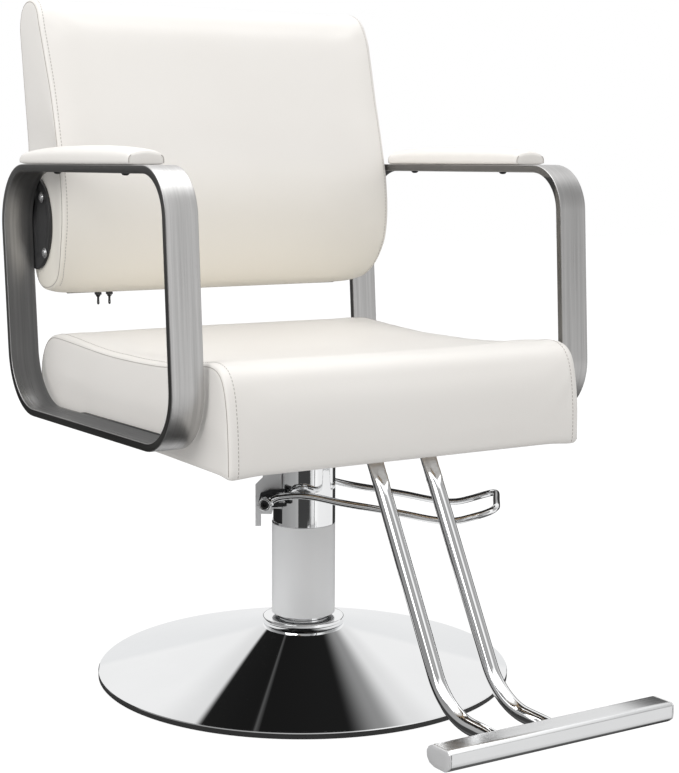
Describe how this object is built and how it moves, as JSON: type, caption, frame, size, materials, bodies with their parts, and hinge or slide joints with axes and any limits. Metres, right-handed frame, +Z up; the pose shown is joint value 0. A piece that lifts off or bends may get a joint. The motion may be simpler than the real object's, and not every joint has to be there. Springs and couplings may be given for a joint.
{
  "type": "salon styling chair",
  "caption": "Salon styling chair with a padded seat and back, flat-bar arm loops, a foot lever on a lifting column, a fixed footrest and a round chrome base.",
  "frame": {"origin": "on the floor, under the centre of the round base (the underside of the weight plate)", "axes": "+Z up, -Y the chair's front (the sitter faces -Y), +X the sitter's left"},
  "size_m": [0.6378, 0.9402, 0.9465],
  "materials": {
    "mirror_chrome": "mirror polished",
    "edge_rubber": "matte moulded",
    "dark_steel": "satin black",
    "black_plastic": "matte",
    "satin_sleeve": "satin anodised",
    "bracket_steel": "light grey satin",
    "dark_fixings": "black oxide",
    "bright_fixings": "zinc plated",
    "plywood_board": "raw plywood",
    "ivory_upholstery": "soft grained faux leather",
    "black_cloth": "woven",
    "brushed_bar": "brushed lengthwise",
    "black_paint": "fine powder coat",
    "bar_aluminium": "satin polished"
  },
  "bodies": {
    "base": {"base_disc": "mirror_chrome", "base_edge_trim": "edge_rubber", "base_weight_plate": "dark_steel", "guide_tube": "mirror_chrome", "guide_bush": "black_plastic", "base_collar": "mirror_chrome"},
    "lift": {"piston_rod": "mirror_chrome", "thrust_washer": "black_plastic"},
    "lever": {"pump_lever": "mirror_chrome", "lever_fork": "dark_steel", "lever_end_screw_r": "dark_fixings", "lever_end_screw_l": "dark_fixings"},
    "zip_slider_r_body": {"zip_slider_r": "black_paint"},
    "zip_slider_l_body": {"zip_slider_l": "black_paint"},
    "zip_pull_r_body": {"zip_pull_r": "black_paint"},
    "zip_pull_l_body": {"zip_pull_l": "black_paint"},
    "seat_unit": {"arm_frame_l": "brushed_bar", "arm_frame_r": "brushed_bar", "arm_pad_l": "ivory_upholstery", "arm_pad_r": "ivory_upholstery", "arm_pad_screw_l_1": "dark_fixings", "arm_pad_screw_l_2": "dark_fixings", "arm_pad_screw_r_1": "dark_fixings", "arm_pad_screw_r_2": "dark_fixings", "arm_spacer_l": "dark_steel", "arm_spacer_r": "dark_steel", "arm_stud_l_1": "bright_fixings", "arm_stud_l_2": "bright_fixings", "arm_stud_r_1": "bright_fixings", "arm_stud_r_2": "bright_fixings", "back_bolt_l_1": "bright_fixings", "back_bolt_l_2": "bright_fixings", "back_bolt_r_1": "bright_fixings", "back_bolt_r_2": "bright_fixings", "back_bracket_l": "black_paint", "back_bracket_r": "black_paint", "back_cushion": "ivory_upholstery", "foot_bar": "bar_aluminium", "foot_bar_cap_l": "bar_aluminium", "foot_bar_cap_r": "bar_aluminium", "foot_bar_screw_l": "dark_fixings", "foot_bar_screw_r": "dark_fixings", "foot_clamp_plate": "dark_steel", "foot_tube_l": "mirror_chrome", "foot_tube_r": "mirror_chrome", "lever_bracket": "bracket_steel", "mount_bolt_1": "dark_fixings", "mount_bolt_2": "dark_fixings", "mount_bolt_3": "dark_fixings", "mount_bolt_4": "dark_fixings", "pump_block": "dark_steel", "pump_head": "mirror_chrome", "pump_sleeve": "satin_sleeve", "seat_board": "plywood_board", "seat_cushion": "ivory_upholstery", "seat_dust_cover": "black_cloth", "seat_mount_plate": "dark_steel", "zip_tape": "black_cloth"}
  },
  "joints": [
    {"name": "seat_lift", "type": "slide", "parent": "base", "child": "lift", "axis": [0, 0, 1], "range_m": [0, 0.14]},
    {"name": "seat_swivel", "type": "hinge", "parent": "lift", "child": "seat_unit", "pos_m": [0, 0, 0.337], "axis": [0, 0, 1], "continuous": true},
    {"name": "lever_pump", "type": "hinge", "parent": "seat_unit", "child": "lever", "pos_m": [-0.03617, 0.02677, 0.2545], "axis": [0.5948, 0.8039, 0], "range_deg": [-10, 25], "stiffness_Nm_per_rad": 20, "springref_deg": -0.87},
    {"name": "zip_slide_r", "type": "slide", "parent": "seat_unit", "child": "zip_slider_r_body", "axis": [1, 0, 0], "range_m": [-0.045, 0]},
    {"name": "zip_slide_l", "type": "slide", "parent": "seat_unit", "child": "zip_slider_l_body", "axis": [1, 0, 0], "range_m": [0, 0.38]},
    {"name": "zip_pull_swing_r", "type": "hinge", "parent": "zip_slider_r_body", "child": "zip_pull_r_body", "pos_m": [-0.179, 0.3, 0.51925], "axis": [0, 1, 0], "range_deg": [-20, 80]},
    {"name": "zip_pull_swing_l", "type": "hinge", "parent": "zip_slider_l_body", "child": "zip_pull_l_body", "pos_m": [-0.161, 0.3, 0.51925], "axis": [0, 1, 0], "range_deg": [-80, 20]}
  ]
}
